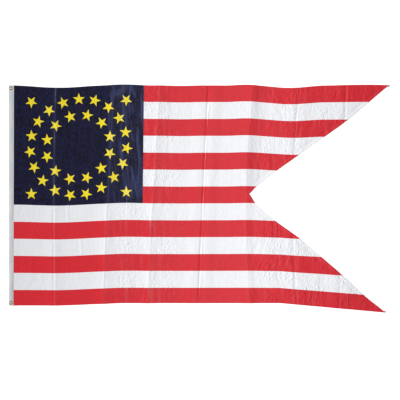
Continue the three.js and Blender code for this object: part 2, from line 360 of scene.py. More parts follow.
def add_mesh(name, points, triangles, materials, face_materials=None, attributes=None, sharp=40):
    """A smooth-shaded mesh, moved from the pattern's origin to the flag's place."""
    mesh = bpy.data.meshes.new(name)
    mesh.from_pydata((points + np.array(HOIST_EDGE)).tolist(), [], triangles.tolist())
    for material in materials:
        mesh.materials.append(material)
    if face_materials is not None:
        mesh.polygons.foreach_set("material_index", face_materials.astype(np.int32))
    for label, values in (attributes or {}).items():
        mesh.attributes.new(label, "FLOAT", "POINT").data.foreach_set("value", values.astype(np.float32))
    mesh.polygons.foreach_set("use_smooth", np.ones(len(triangles), bool))
    mesh.set_sharp_from_angle(angle=math.radians(sharp))
    mesh.validate()
    return add_object(name, mesh)


def without_unused(points, triangles):
    used, triangles = np.unique(triangles, return_inverse=True)
    return points[used], triangles.reshape(-1, 3)


class Pattern:
    """Points and edges of a flat pattern, to be filled with triangles."""

    def __init__(self):
        self.points = []
        self.edges = []

    def add_points(self, points):
        self.points.extend(Vector(point) for point in points)

    def add_line(self, points, closed=False):
        first = len(self.points)
        self.add_points(points)
        last = len(self.points) - 1
        self.edges.extend((k, k + 1) for k in range(first, last))
        if closed:
            self.edges.append((last, first))

    def fill(self):
        inside_the_edges = 1
        points, _, faces, *_ = delaunay_2d_cdt(self.points, self.edges, [], inside_the_edges, 1e-6)
        flat = np.array([point[:] for point in points])
        triangles = np.array([face for face in faces if len(face) == 3])
        a, b, c = (flat[triangles[:, k]] for k in range(3))
        area = (b[:, 0] - a[:, 0]) * (c[:, 1] - a[:, 1]) - (b[:, 1] - a[:, 1]) * (c[:, 0] - a[:, 0])
        triangles[area < 0] = triangles[area < 0][:, ::-1]
        return without_unused(flat, triangles)


# ---- the printed pattern ----

BORDERS = HOIST / 2 - TOP_STRIPE - STRIPE_PITCH * np.arange(STRIPES - 1)
CANTON_FOOT = BORDERS[CANTON_STRIPES - 1]
RED, WHITE, NAVY, GOLD = range(4)


def canton_edge_x(v):
    share = (v - CANTON_FOOT) / (HOIST / 2 - CANTON_FOOT)
    return CANTON_EDGE_AT_BOTTOM + (CANTON_EDGE_AT_TOP - CANTON_EDGE_AT_BOTTOM) * share


def star_places():
    """Each star's centre, as laid, and the direction of one of its points in radians."""
    stars = []
    for count, radius, turn in RINGS:
        for k in range(count):
            outward = math.radians(90 - RING_TURN - turn - k * 360 / count)
            rise = radius * math.sin(outward)
            x = RING_CENTRE[0] + radius * math.cos(outward) + STARS_LEAN * rise
            v = RING_CENTRE[1] + rise
            stars.append((x, float(printed_to_laid(x, v)), outward))
    middle_x, middle_v, half_x, half_v = CORNER_STARS
    for side in (-1, 1):
        for level in (-1, 1):
            x, v = middle_x + side * half_x, middle_v + level * half_v
            towards_middle = -level * math.pi / 2
            stars.append((x, float(printed_to_laid(x, v)), towards_middle))
    return stars


STARS = star_places()


def star_outline(star):
    x, y, turn = star
    corners = []
    for k in range(10):
        radius = STAR_RADIUS if k % 2 == 0 else STAR_RADIUS * STAR_WAIST
        angle = turn + k * math.pi / 5
        corners.append((x + radius * math.cos(angle), y + radius * math.sin(angle)))
    return corners


def depth_in_stars(x, y):
    """How far a place is inside the nearest star's outline; negative outside."""
    deepest = np.full(len(x), -1.0)
    waist_x = STAR_RADIUS * STAR_WAIST * math.cos(math.pi / 5)
    waist_y = STAR_RADIUS * STAR_WAIST * math.sin(math.pi / 5)
    side = np.array([STAR_RADIUS - waist_x, -waist_y])
    normal = np.array([-side[1], side[0]]) / np.hypot(*side)
    for star_x, star_y, turn in STARS:
        near = np.flatnonzero(np.hypot(x - star_x, y - star_y) < STAR_RADIUS * 1.3)
        radius = np.hypot(x[near] - star_x, y[near] - star_y)
        angle = (np.arctan2(y[near] - star_y, x[near] - star_x) - turn) % (2 * math.pi / 5)
        angle = np.minimum(angle, 2 * math.pi / 5 - angle)
        outward = (radius * np.cos(angle) - STAR_RADIUS) * normal[0]
        outward += radius * np.sin(angle) * normal[1]
        deepest[near] = np.maximum(deepest[near], -outward)
    return deepest


def print_colour(x, y):
    v = laid_to_printed(x, y)
    stripe = (v[:, None] < BORDERS).sum(axis=1)
    colour = np.where(stripe % 2 == 0, RED, WHITE)
    colour[(v > CANTON_FOOT) & (x < canton_edge_x(v))] = NAVY
    colour[depth_in_stars(x, y) > 0] = GOLD
    return colour


# ---- the cloth's edges ----

FOLD_RADIUS = (CLOTH_THICKNESS + HEM_GAP) / 2
FOLD_INSET = CLOTH_THICKNESS / 2 + FOLD_RADIUS  # from the finished edge to the fold's axis
BOTTOM, LOWER_NOTCH, UPPER_NOTCH, TOP, APEX = range(5)
NOTCH_SIDES = (LOWER_NOTCH, UPPER_NOTCH)
EDGES = ((bottom_edge, 1), (lower_notch_edge, -1), (upper_notch_edge, 1), (top_edge, -1))


def edge_slope(edge, x):
    step = 1e-4
    return (edge(x + step) - edge(x - step)) / (2 * step)


def inward(which, x):
    """Unit vectors from an edge into the cloth."""
    edge, side = EDGES[which]
    slope = edge_slope(edge, x)
    return side * np.column_stack([-slope, np.ones_like(slope)]) / np.hypot(slope, 1)[:, None]


def edge_line(which, x, offset):
    """The line that runs along an edge, offset into the cloth."""
    offset = np.broadcast_to(offset, x.shape)[:, None]
    return np.column_stack([x, EDGES[which][0](x)]) + inward(which, x) * offset


def distances_to_edges(x, y):
    """Signed distances into the cloth from its four hemmed edges."""
    past_notch = np.maximum(x, NOTCH_X)
    rows = []
    for which, (edge, side) in enumerate(EDGES):
        at = past_notch if which in NOTCH_SIDES else x
        across = side * (y - edge(at)) / np.hypot(edge_slope(edge, at), 1)
        if which in NOTCH_SIDES:
            across = np.where(x < NOTCH_X, np.hypot(x - NOTCH_X, y - NOTCH_Y), across)
        rows.append(across)
    return np.array(rows)


def hem_distance(x, y):
    """Distance from the nearest hemmed edge, for places in the cloth."""
    bottom, lower, upper, top = distances_to_edges(x, y)
    inner = np.where(x < NOTCH_X, upper, np.maximum(lower, upper))
    return np.minimum(inner, np.minimum(bottom, top))


# ---- the cloth's middle surface ----

HOIST_CUT = TAPE_WIDTH_AT_BOTTOM - CLOTH_TUCK  # where the cloth ends inside the tape
TOP_OFFSETS = (0.0024, 0.0058, HEM_WIDTH, HEM_WIDTH + HEM_FALL / 2, HEM_WIDTH + HEM_FALL)
FOLD_TURNS = (45, 90, 135, 180)  # degrees round the fold from the upper layer
UNDER_SHARES = (0.24, 0.62, 1.0)  # places across the folded-under part of the hem
CLEAR_OF_LINES = 0.0015  # no grid point is closer than this to a printed line
GRID_MARGIN = 0.002  # between the grid and the points along edges and borders
PAST_EDGE = 0.002  # a stripe's border stops this far past the cloth's edge
BEFORE_HOIST_CUT = HOIST_CUT - 0.004  # where it starts
PAST_TOP_EDGE = 0.012  # where the canton's fly edge starts
LAYING_PASSES, MEETING_PASSES = 4, 12  # to find where a column meets a printed height or an edge


def span_shares(width):
    """Columns across the span between two creases, as shares of it."""
    near = np.array(NEAR_CREASE)
    plain_count = max(2, round((width - 2 * near[-1]) / COLUMN_STEP))
    plain = np.linspace(near[-1], width - near[-1], plain_count + 1)
    return np.concatenate([near[:-1], plain, width - near[-2:0:-1]]) / width


def columns():
    """Every column of the grid, as x for a given y: they lean as the creases do."""
    guides = [lambda y: HOIST_CUT + 0 * y]
    guides += [lambda y, crease=crease: crease_x(crease, y) for crease in CREASES]
    guides += [lambda y: UPPER_TIP_X + 0 * y]
    for left, right in zip(guides, guides[1:]):
        for share in span_shares(float(right(0.0) - left(0.0))):
            yield lambda y, l=left, r=right, s=share: l(y) * (1 - s) + r(y) * s
    yield guides[-1]


COLUMNS = list(columns())


def column_points(column, v):
    """Laid places of the printed heights v along a column."""
    y = v
    for _ in range(LAYING_PASSES):
        x = column(y)
        y = printed_to_laid(x, v)
    return np.column_stack([x, y])


def edge_xs(which):
    """Where the columns meet an edge, with the edge's own two ends."""
    edge = EDGES[which][0]
    first = NOTCH_X if which in NOTCH_SIDES else HOIST_CUT
    last = LOWER_TIP_X if which in (BOTTOM, LOWER_NOTCH) else UPPER_TIP_X
    met = []
    for column in COLUMNS:
        x = column(0.0)
        for _ in range(MEETING_PASSES):
            x = column(float(edge(x)))
        met.append(float(x))
    between = sorted(x for x in met if first + GRID_MARGIN < x < last - GRID_MARGIN)
    return np.array([*between, last] if which in NOTCH_SIDES else [first, *between, last])


EDGE_XS = [edge_xs(which) for which in range(4)]


def hem_room(which, x):
    """Width of the hem: narrower near a tip, where a tail's two hems share it."""
    upper = top_edge(x) - upper_notch_edge(x)
    lower = lower_notch_edge(x) - bottom_edge(x)
    width = np.where(x > NOTCH_X, upper if which in (TOP, UPPER_NOTCH) else lower, 1.0)
    return np.minimum(HEM_WIDTH, HEM_SHARE_OF_TAIL * width)


def outline():
    """The four hems' fold lines, joined by the hoist and the tips, counter-clockwise."""
    bottom, lower, upper, top = (edge_line(k, EDGE_XS[k], FOLD_INSET) for k in range(4))
    apex = [(NOTCH_X - FOLD_INSET, NOTCH_Y)]
    return np.vstack([bottom, lower[::-1], apex, upper, top[::-1]])


def lines_beside_hems():
    """Points along the hems, where the cloth comes down from its doubled edge."""
    for which in range(4):
        x = EDGE_XS[which][:-1]
        for offset in TOP_OFFSETS:
            line = edge_line(which, x, offset)
            kept = hem_distance(*line.T) > offset * 0.97  # not where another hem is nearer
            yield line[kept & (line[:, 0] > HOIST_CUT + GRID_MARGIN / 2)]


def border_line(v, first_x):
    """A printed border from first_x to a little past the cloth's edge."""
    points = np.array([column_points(column, v) for column in COLUMNS])[:, 0]
    points = points[points[:, 0] > first_x + CLEAR_OF_LINES]
    depth = hem_distance(*points.T)
    end = np.flatnonzero(depth < -PAST_EDGE)
    last = end[0] + 1 if len(end) else len(points)
    clear = (depth > FOLD_INSET + CLEAR_OF_LINES) | (depth < -PAST_EDGE)
    start = (first_x, float(printed_to_laid(first_x, v)))
    return [start, *points[:last][clear[:last]].tolist()]


def canton_line():
    heights = np.concatenate([[HOIST / 2 + PAST_TOP_EDGE], row_heights()])
    heights = heights[heights > CANTON_FOOT - 1e-9]
    x = canton_edge_x(heights)
    return np.column_stack([x, printed_to_laid(x, heights)])


def row_heights():
    limits = [HOIST / 2, *BORDERS, -HOIST / 2]
    rows = [np.linspace(a, b, ROWS_IN_A_STRIPE, endpoint=False) for a, b in zip(limits, limits[1:])]
    return np.concatenate(rows)


def grid_points():
    grid = np.vstack([column_points(column, row_heights()) for column in COLUMNS])
    x, y = grid.T
    v = laid_to_printed(x, y)
    in_canton = (v > CANTON_FOOT + 1e-6) & (x < canton_edge_x(v))
    on_border = np.abs(v[:, None] - BORDERS).min(axis=1) < 1e-6
    beside_canton = (np.abs(x - canton_edge_x(v)) < CLEAR_OF_LINES) & (v > CANTON_FOOT - GRID_MARGIN)
    on_star = np.abs(depth_in_stars(x, y)) < CLEAR_OF_LINES
    clear_of_hems = hem_distance(x, y) > HEM_WIDTH + HEM_FALL + GRID_MARGIN
    kept = clear_of_hems & ~beside_canton & ~on_star & (x > HOIST_CUT + GRID_MARGIN)
    return grid[kept & (in_canton | ~on_border)]


def cloth_pattern():
    pattern = Pattern()
    pattern.add_line(outline(), closed=True)
    pattern.add_line(canton_line())
    for k, v in enumerate(BORDERS):
        beside_canton = k < CANTON_STRIPES - 1  # the border at its foot runs on to the hoist
        pattern.add_line(border_line(v, float(canton_edge_x(v)) if beside_canton else BEFORE_HOIST_CUT))
    for star in STARS:
        pattern.add_line(star_outline(star), closed=True)
    for line in lines_beside_hems():
        pattern.add_points(line)
    pattern.add_points(grid_points())
    return pattern.fill()


def hem_lift(depth):
    """Extra height of the upper layer where the hem's other layer lies under it."""
    return 2 * FOLD_RADIUS * (1 - smoothstep(depth, HEM_WIDTH, HEM_WIDTH + HEM_FALL))


def edge_of(x, y):
    """The edge whose fold line each rim point is on, or -1 on the hoist."""
    distances = np.abs(distances_to_edges(x, y) - FOLD_INSET)
    which = distances.argmin(axis=0)
    which[distances.min(axis=0) > FOLD_INSET / 2] = -1
    which[np.hypot(x - NOTCH_X, y - NOTCH_Y) < 2 * FOLD_INSET] = APEX
    return which


def add_hems(flat, triangles, colours):
    """Turns the rim under: the fold, then the lower layer of the hem."""
    points = np.column_stack([flat, relief(*flat.T) + hem_lift(hem_distance(*flat.T))])
    edges, owner = rim_edges(triangles)
    rim = np.unique(edges)
    which = edge_of(*flat[rim].T)
    rim, which = rim[which >= 0], which[which >= 0]
    x, y = flat[rim].T
    inwards = np.tile([-1.0, 0.0], (len(rim), 1))
    room = np.full(len(rim), HEM_WIDTH)
    for k in range(4):
        mine = which == k
        inwards[mine] = inward(k, x[mine])
        room[mine] = hem_room(k, x[mine])
    ground = relief(x, y)
    layers = []
    for turn in FOLD_TURNS:
        out = FOLD_RADIUS * math.sin(math.radians(turn))
        up = FOLD_RADIUS * (1 + math.cos(math.radians(turn)))
        layers.append(np.column_stack([flat[rim] - inwards * out, ground + up]))
    for share in UNDER_SHARES:
        place = flat[rim] + inwards * ((room - FOLD_INSET) * share)[:, None]
        layers.append(np.column_stack([place, relief(*place.T)]))
    added = len(points) + np.arange(len(layers) * len(rim))
    strips = [rim, *added.reshape(len(layers), -1)]
    points = np.vstack([points, *layers])

    strip_of = {int(vertex): k for k, vertex in enumerate(rim)}
    new_triangles, new_colours = [], []
    for (a, b), triangle in zip(edges.tolist(), owner):
        if a not in strip_of or b not in strip_of:
            continue
        a, b = strip_of[a], strip_of[b]
        if which[a] != which[b] and APEX not in (which[a], which[b]):
            continue  # the blunt end of a tail
        for inner, outer in zip(strips, strips[1:]):
            new_triangles += [(inner[b], inner[a], outer[a]), (inner[b], outer[a], outer[b])]
            new_colours += [colours[triangle]] * 2
    return points, np.vstack([triangles, new_triangles]), np.concatenate([colours, new_colours])


PAINTED_SHADE_PANEL_CREASE = 4  # beside it, towards the tails, a panel of the upper cloth is painted darker: painted shade
PAINTED_SHADE_PANEL_START, PAINTED_SHADE_PANEL_END = (-0.01, 0.006), (0.048, 0.066)  # its soft sides, from the crease
PAINTED_SHADE_PANEL_FOOT = (0.0, 0.06)
PAINTED_SHADE_PANEL_MARK = -2
MARK_CORE, MARK_RIM = 0.0024, 0.008  # half widths of the painted line along a crease (highlight on a ridge, shade in a trough) and of its faint rim


def painted_fold_light_and_shade(x, y):
    """Painted light and shade: 1 along a ridge's crest and more along short wrinkles (painted
    highlights), -1 along a trough's bottom and -2 in the panel beside the fifth crease (painted shade).
    """
    beside = x - crease_x(CREASES[PAINTED_SHADE_PANEL_CREASE], y)
    panel = smoothstep(beside, *PAINTED_SHADE_PANEL_START) * (1 - smoothstep(beside, *PAINTED_SHADE_PANEL_END))
    marks = SHORT_WRINKLE_HIGHLIGHT * short_wrinkles(x, y)
    marks += PAINTED_SHADE_PANEL_MARK * panel * smoothstep(y, *PAINTED_SHADE_PANEL_FOOT)
    for crease in CREASES:
        distance = x - crease_x(crease, y)
        core, rim = (np.exp(-((distance / width) ** 2)) for width in (MARK_CORE, MARK_RIM))
        marks += (1 if crease[3] else -1) * (0.7 * core + 0.3 * rim)
    return marks


def make_cloth(materials):
    flat, triangles = cloth_pattern()
    centres = flat[triangles].mean(axis=1)
    colours = print_colour(*centres.T)
    points, triangles, colours = add_hems(flat, triangles, colours)
    points[:, 2] += CLOTH_THICKNESS / 2 + STITCH_BELOW
    solid, faces, source = thicken(points, triangles, CLOTH_THICKNESS)
    place = points[:, :2].T
    attributes = {
        "reverse": np.repeat([0.0, 1.0], len(points)),
        # marks for painted highlights on crests and wrinkles and painted shade in troughs and a panel
        "crease": np.tile(painted_fold_light_and_shade(*place), 2),
        "crinkled": np.tile(crinkle_strength(*place), 2),
    }
    piece = add_mesh("printed_cloth", solid, faces, materials, colours[source], attributes)
    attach(piece, "root")
    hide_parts("cloth")
    return piece


# ---- heading tape ----

TAPE_RADIUS = (TAPE_HEIGHT - TAPE_THICKNESS - STITCH_BELOW) / 2  # of the fold, to the tape's middle
TAPE_AXIS_X = TAPE_HEIGHT / 2
TAPE_ARC = math.pi * TAPE_RADIUS
TAPE_PINCH = 0.0013  # how far the upper side is sewn down at its free edge
TAPE_PINCH_FROM, TAPE_PINCH_TO = 0.008, 0.0026  # where it comes down, from the free edge
TAPE_SLACK = 0.0004
TAPE_HOLE_RADIUS, TAPE_HOLE_SIDES = 0.0049, 40
CLEAR_OF_HOLE = 0.0009
GROMMET_SEAT_RADIUS, GROMMET_SEAT_REACH = 0.0079, 0.0118
LOWER_SEAT, UPPER_SEAT = 0.0009, 0.0004  # how far each side gives way to a flange
TAPE_ACROSS, TAPE_ALONG = 0.0016, 0.004  # the tape's grid
TAPE_NOSE_STEPS = 10


def seat(x, y):
    """1 under a grommet's flanges, fading to 0 round them."""
    pressed = np.zeros_like(x)
    for grommet_y in GROMMET_YS:
        radius = np.hypot(x - GROMMET_INSET, y - grommet_y)
        pressed = np.maximum(pressed, 1 - smoothstep(radius, GROMMET_SEAT_RADIUS, GROMMET_SEAT_REACH))
    return pressed


def place_tape(across, y):
    """Middle surface of the folded tape. across is measured along the tape from its fold."""
    flat_part = np.abs(across) - TAPE_ARC / 2
    angle = np.clip(across / TAPE_RADIUS, -math.pi / 2, math.pi / 2)
    x = TAPE_AXIS_X - TAPE_RADIUS * np.cos(angle) + np.maximum(flat_part, 0)
    level = 0.5 + 0.5 * np.sin(angle)  # 0 on the lower side, 1 on the upper side
    pressed = seat(x, y)
    inner_edge = tape_width(y)
    sewn_down = smoothstep(x, inner_edge - TAPE_PINCH_FROM, inner_edge - TAPE_PINCH_TO)
    pinch = TAPE_PINCH * sewn_down * (1 - pressed)
    slack = np.array([noise.noise(Vector((a / 0.012, b / 0.05, 1.3))) for a, b in zip(x, y)])
    z = STITCH_BELOW + TAPE_THICKNESS / 2 + 2 * TAPE_RADIUS * level
    z += pressed * (LOWER_SEAT * (1 - level) - UPPER_SEAT * level)
    z -= level * (TAPE_SLACK * np.abs(slack) * (1 - pressed) + pinch)
    return np.column_stack([x, y, z])


def tape_half_width(y):
    """Along the tape, from its fold to its free edge."""
    return TAPE_ARC / 2 + tape_width(y) - TAPE_AXIS_X


def tape_pattern():
    ys = np.linspace(-HOIST / 2, HOIST / 2, round(HOIST / TAPE_ALONG) + 1)
    half = tape_half_width(ys)
    pattern = Pattern()
    pattern.add_line([*zip(half, ys), *zip(-half[::-1], ys[::-1])], closed=True)
    nose = np.linspace(-TAPE_ARC / 2, TAPE_ARC / 2, TAPE_NOSE_STEPS + 1)
    flat_steps = round((TAPE_WIDTH_AT_BOTTOM - TAPE_AXIS_X) / TAPE_ACROSS)
    for y, edge in zip(ys[1:-1], half[1:-1]):
        upper = np.linspace(TAPE_ARC / 2, edge, flat_steps + 1)[1:-1]
        row = np.concatenate([-upper[::-1], nose, upper])
        points = np.column_stack([row, np.full(len(row), y)])
        pattern.add_points(points[hole_distance(points) > TAPE_HOLE_RADIUS + CLEAR_OF_HOLE])
    for end in (-HOIST / 2, HOIST / 2):
        pattern.add_points([(across, end) for across in nose])
    for centre in hole_centres():
        turns = np.linspace(0, 2 * math.pi, TAPE_HOLE_SIDES, endpoint=False)
        ring = np.column_stack([np.cos(turns), np.sin(turns)])
        pattern.add_line(centre + ring * TAPE_HOLE_RADIUS, closed=True)
    flat, triangles = pattern.fill()
    outside = hole_distance(flat[triangles].mean(axis=1)) > TAPE_HOLE_RADIUS * 0.995
    return without_unused(flat, triangles[outside])


def hole_centres():
    across = TAPE_ARC / 2 + GROMMET_INSET - TAPE_AXIS_X
    return [np.array([side * across, y]) for side in (-1, 1) for y in GROMMET_YS]


def hole_distance(points):
    return np.min([np.hypot(*(points - centre).T) for centre in hole_centres()], axis=0)


def make_heading(material):
    flat, triangles = tape_pattern()
    solid, faces, _ = thicken(place_tape(*flat.T), triangles, TAPE_THICKNESS)
    piece = add_mesh("heading_tape", solid, faces, [material])
    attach(piece, "root")
    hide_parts("heading")
    return piece


# ---- grommets ----

GROMMET_HOLE, GROMMET_FLANGE = 0.004, 0.0077
GROMMET_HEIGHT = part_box("grommet_top")[1].z
GROMMET_SIDES = 96


def rounded(corners, radii, steps=6):
    """A closed profile through the corners, each rounded by its own radius."""
    profile = []
    corners = np.array(corners)
    for k, radius in enumerate(radii):
        before, corner, after = corners[k - 1], corners[k], corners[(k + 1) % len(corners)]
        to_before = (before - corner) / np.linalg.norm(before - corner)
        to_after = (after - corner) / np.linalg.norm(after - corner)
        start, end = corner + to_before * radius, corner + to_after * radius
        for step in range(steps + 1):
            share = step / steps
            profile.append(start * (1 - share) ** 2 + 2 * corner * share * (1 - share) + end * share**2)
    return np.array(profile)


def grommet_profile():
    """Radius and height round the section: rolled top rim, barrel and washer."""
    mm = 0.001
    top, edge = GROMMET_HEIGHT, GROMMET_FLANGE
    corners = (
        (GROMMET_HOLE, 0.15 * mm), (5.1 * mm, 0.0), (edge - 0.5 * mm, 0.05 * mm), (edge, 0.45 * mm),
        (edge - 0.3 * mm, 0.8 * mm), (4.7 * mm, 0.8 * mm), (4.7 * mm, top - 0.85 * mm),
        (edge - 0.2 * mm, top - 0.85 * mm), (edge, top - 0.55 * mm), (5.6 * mm, top),
        (GROMMET_HOLE + 0.1 * mm, top), (GROMMET_HOLE, top - 1.3 * mm),
    )
    radii = (0.1, 0.4, 0.3, 0.2, 0.12, 0.15, 0.15, 0.1, 0.15, 0.6, 0.35, 0.3)
    return rounded(corners, [radius * mm for radius in radii])


def make_grommet(name, y, material):
    profile = grommet_profile()
    turns = np.linspace(0, 2 * math.pi, GROMMET_SIDES, endpoint=False)
    rings = len(profile)
    points = [
        (GROMMET_INSET + radius * math.cos(turn), y + radius * math.sin(turn), height)
        for turn in turns
        for radius, height in profile
    ]
    triangles = []
    for side in range(GROMMET_SIDES):
        here, there = side * rings, (side + 1) % GROMMET_SIDES * rings
        for k in range(rings):
            after = (k + 1) % rings
            triangles.append((here + k, there + k, there + after))
            triangles.append((here + k, there + after, here + after))
    piece = add_mesh(name + "_ring", np.array(points), np.array(triangles), [material], sharp=60)
    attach(piece, "root")
    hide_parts(name)


# ---- stitches ----

STITCH_PITCH, STITCH_LENGTH, THREAD_RADIUS = 0.0032, 0.0025, 0.00016
THREAD_SUNK = THREAD_RADIUS - STITCH_BELOW  # a thread's middle, below the face it is sewn into
STITCH_SECTIONS = ((-0.5, 0.45, -1.1), (-0.28, 1.0, 0.0), (0.28, 1.0, 0.0), (0.5, 0.45, -1.1))
STITCH_SIDES = 5
HEM_STITCH_START = 0.024  # from the hoist edge: past the tape
TAPE_STITCH_INSETS = (0.0014, 0.0048)  # of the two rows, from the tape's free edge
TAPE_STITCH_END, TAPE_STITCH_POINTS = 0.003, 400
CLEAR_OF_GROMMET = 0.0004


def stitch_shape():
    """One stitch: along, across and above the cloth, in its own length and radius."""
    points = [(-0.5, 0, -1.2)]
    for along, girth, rise in STITCH_SECTIONS:
        for k in range(STITCH_SIDES):
            angle = 2 * math.pi * k / STITCH_SIDES
            points.append((along, girth * math.cos(angle), rise + girth * math.sin(angle)))
    points.append((0.5, 0, -1.2))
    triangles = []
    for k in range(STITCH_SIDES):
        after = (k + 1) % STITCH_SIDES
        triangles.append((0, 1 + after, 1 + k))
        for section in range(len(STITCH_SECTIONS) - 1):
            near, far = 1 + section * STITCH_SIDES, 1 + (section + 1) * STITCH_SIDES
            triangles += [(near + k, near + after, far + after), (near + k, far + after, far + k)]
        last = 1 + (len(STITCH_SECTIONS) - 1) * STITCH_SIDES
        triangles.append((last + k, last + after, len(points) - 1))
    return np.array(points), np.array(triangles)


def stitch_places(line):
    """Middles and directions of the stitches along a line of places."""
    steps = np.linalg.norm(np.diff(line, axis=0), axis=1)
    run = np.concatenate([[0], np.cumsum(steps)])
    count = int(run[-1] / STITCH_PITCH)
    centres = (np.arange(count) + 0.5) * run[-1] / count
    ahead, behind = (
        np.column_stack([np.interp(centres + reach, run, values) for values in line.T])
        for reach in (STITCH_LENGTH / 2, -STITCH_LENGTH / 2)
    )
    return (ahead + behind) / 2, (ahead - behind) / np.linalg.norm(ahead - behind, axis=1)[:, None]


def make_stitches(name, lines, up, materials):
    """Rows of stitches joined in one mesh, on the side that up points to."""
    shape, triangles = stitch_shape()
    all_points, all_triangles, middles = [], [], []
    for line in lines:
        for middle, ahead in zip(*stitch_places(line)):
            aside = np.cross((0, 0, up), ahead)
            above = np.cross(ahead, aside)
            along = shape[:, :1] * STITCH_LENGTH * ahead
            round_it = THREAD_RADIUS * (shape[:, 1:2] * aside + shape[:, 2:] * above)
            all_triangles.append(triangles + len(all_points) * len(shape))
            all_points.append(middle + along + round_it)
            middles.append(middle[:2])
    colours = print_colour(*np.array(middles).T) if len(materials) > 1 else np.zeros(len(middles))
    colours = np.repeat(colours, len(triangles))
    piece = add_mesh(name, np.vstack(all_points), np.vstack(all_triangles), materials, colours, sharp=80)
    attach(piece, "root")
    return piece


def hem_stitch_lines(side):
    """Stitch lines along the four hems, on the cloth's upper (1) or under (-1) face."""
    for which in range(4):
        x = EDGE_XS[which]
        x = x[(x > HEM_STITCH_START) & (hem_room(which, x) > HEM_STITCH_LINE)]
        place = edge_line(which, x, HEM_STITCH_LINE)
        height = relief(*place.T) + STITCH_BELOW + THREAD_SUNK
        if side > 0:
            height = height + hem_lift(HEM_STITCH_LINE) + CLOTH_THICKNESS - 2 * THREAD_SUNK
        yield np.column_stack([place, height])


def tape_stitch_lines(side):
    ys = np.linspace(TAPE_STITCH_END - HOIST / 2, HOIST / 2 - TAPE_STITCH_END, TAPE_STITCH_POINTS)
    for inset in TAPE_STITCH_INSETS:
        across = side * (tape_half_width(ys) - inset)
        line = place_tape(across, ys)
        clear = np.ones(len(ys), bool)
        for grommet_y in GROMMET_YS:
            away = np.hypot(line[:, 0] - GROMMET_INSET, ys - grommet_y)
            clear &= away > GROMMET_FLANGE + CLEAR_OF_GROMMET
        line[:, 2] += side * (TAPE_THICKNESS / 2 - THREAD_SUNK)
        breaks = np.flatnonzero(np.diff(clear.astype(int))) + 1
        for run in np.split(np.arange(len(ys)), breaks):
            if clear[run[0]] and len(run) > 4:
                yield line[run]


# ---- materials ----

# Each print colour: name, albedo at the hoist and the share of it left further along (painted light: the
# colour is lighter towards the hoist), how blotchy it lies, the paler colour of its painted highlights
# along crests, wrinkles and sheen streaks, and how much.
PRINT = {
    RED: ("red_print", (0.6, 0.02, 0.03), 0.89, 0.06, (0.64, 0.26, 0.3), 0.05),
    WHITE: ("white_print", (0.704, 0.709, 0.734), 1.0, 0.03, (0.75, 0.76, 0.79), 0.3),
    NAVY: ("navy_print", (0.0043, 0.0042, 0.024), 1.0, 0.8, (0.06, 0.078, 0.2), 0.28),
    GOLD: ("gold_print", (0.75, 0.605, 0.018), 1.0, 0.06, (0.82, 0.76, 0.42), 0.24),
}
HOIST_PAINTED_LIGHT_REACH = 0.5  # from the hoist edge to where the painted light towards the hoist ends
YARN_PITCH = 0.0006
FINE_WRINKLE = 0.0042  # bump distance of the wrinkles too fine for the mesh
WAVES_IN_A_UNIT = 20 / (2 * math.pi)  # bands in one unit of a wave texture of scale 1
COLOUR_MIX_INPUTS = (0, 6, 7)  # a mix node's sockets for the share and the two colours
COLOUR_MIX_OUTPUT = 2
BACK_STRENGTH, UNDYED = 0.75, 0.75  # share of the print that shows on the back, and plain cloth


class Shader:
    """A node material and short ways to add the nodes it is made of."""

    def __init__(self, name):
        self.material = bpy.data.materials.new(name)
        self.material.use_nodes = True
        self.tree = self.material.node_tree
        self.surface = self.tree.nodes["Principled BSDF"]
        self.place = self.tree.nodes.new("ShaderNodeTexCoord").outputs["Object"]

    def feed(self, node, inputs):
        """Gives a node's inputs, by index or name, other nodes' outputs or constants."""
        for label, value in inputs.items():
            socket = node.inputs[label.replace("_", " ") if isinstance(label, str) else label]
            if isinstance(value, bpy.types.NodeSocket):
                self.tree.links.new(value, socket)
            else:
                socket.default_value = value

    def node(self, kind, settings=None, **inputs):
        made = self.tree.nodes.new(kind)
        for label, value in (settings or {}).items():
            setattr(made, label, value)
        self.feed(made, inputs)
        return made

    def stretched(self, across, up):
        return self.node("ShaderNodeMapping", Vector=self.place, Scale=(across, up, 1)).outputs["Vector"]

    def noise(self, vector, scale, detail=2.0):
        return self.node("ShaderNodeTexNoise", Vector=vector, Scale=scale, Detail=detail).outputs["Fac"]

    def map(self, value, low, high, to_low, to_high):
        limits = {"From_Min": low, "From_Max": high, "To_Min": to_low, "To_Max": to_high}
        return self.node("ShaderNodeMapRange", Value=value, **limits).outputs["Result"]

    def math(self, operation, one, two):
        made = self.node("ShaderNodeMath", {"operation": operation})
        self.feed(made, {0: one, 1: two})
        return made.outputs["Value"]

    def attribute(self, name):
        return self.node("ShaderNodeAttribute", {"attribute_name": name}).outputs["Fac"]

    def blend(self, share, one, two, kind="MIX"):
        made = self.node("ShaderNodeMix", {"data_type": "RGBA", "blend_type": kind})
        self.feed(made, dict(zip(COLOUR_MIX_INPUTS, (share, one, two))))
        return made.outputs[COLOUR_MIX_OUTPUT]

    def wave(self, direction, pitch):
        settings = {"bands_direction": direction}
        scale = 1 / (pitch * WAVES_IN_A_UNIT)
        return self.node("ShaderNodeTexWave", settings, Vector=self.place, Scale=scale).outputs["Fac"]

    def bump(self, height, distance, strength, below=None):
        made = self.node("ShaderNodeBump", Height=height, Distance=distance, Strength=strength)
        if below is not None:
            self.feed(made, {"Normal": below})
        return made.outputs["Normal"]

    def weave(self, pitch, distance, strength, below=None):
        """Over and under: the higher of the two sets of yarns."""
        yarns = self.math("MAXIMUM", self.wave("X", pitch), self.wave("Y", pitch))
        return self.bump(yarns, distance, strength, below)

    def finish(self, colour, normal, **values):
        if normal is not None:
            values["Normal"] = normal
        self.feed(self.surface, {"Base_Color": colour, **values})
        return self.material


def opaque(colour):
    return (*colour, 1.0)


def scaled(colour, factor):
    return opaque([min(1, part * factor) for part in colour])


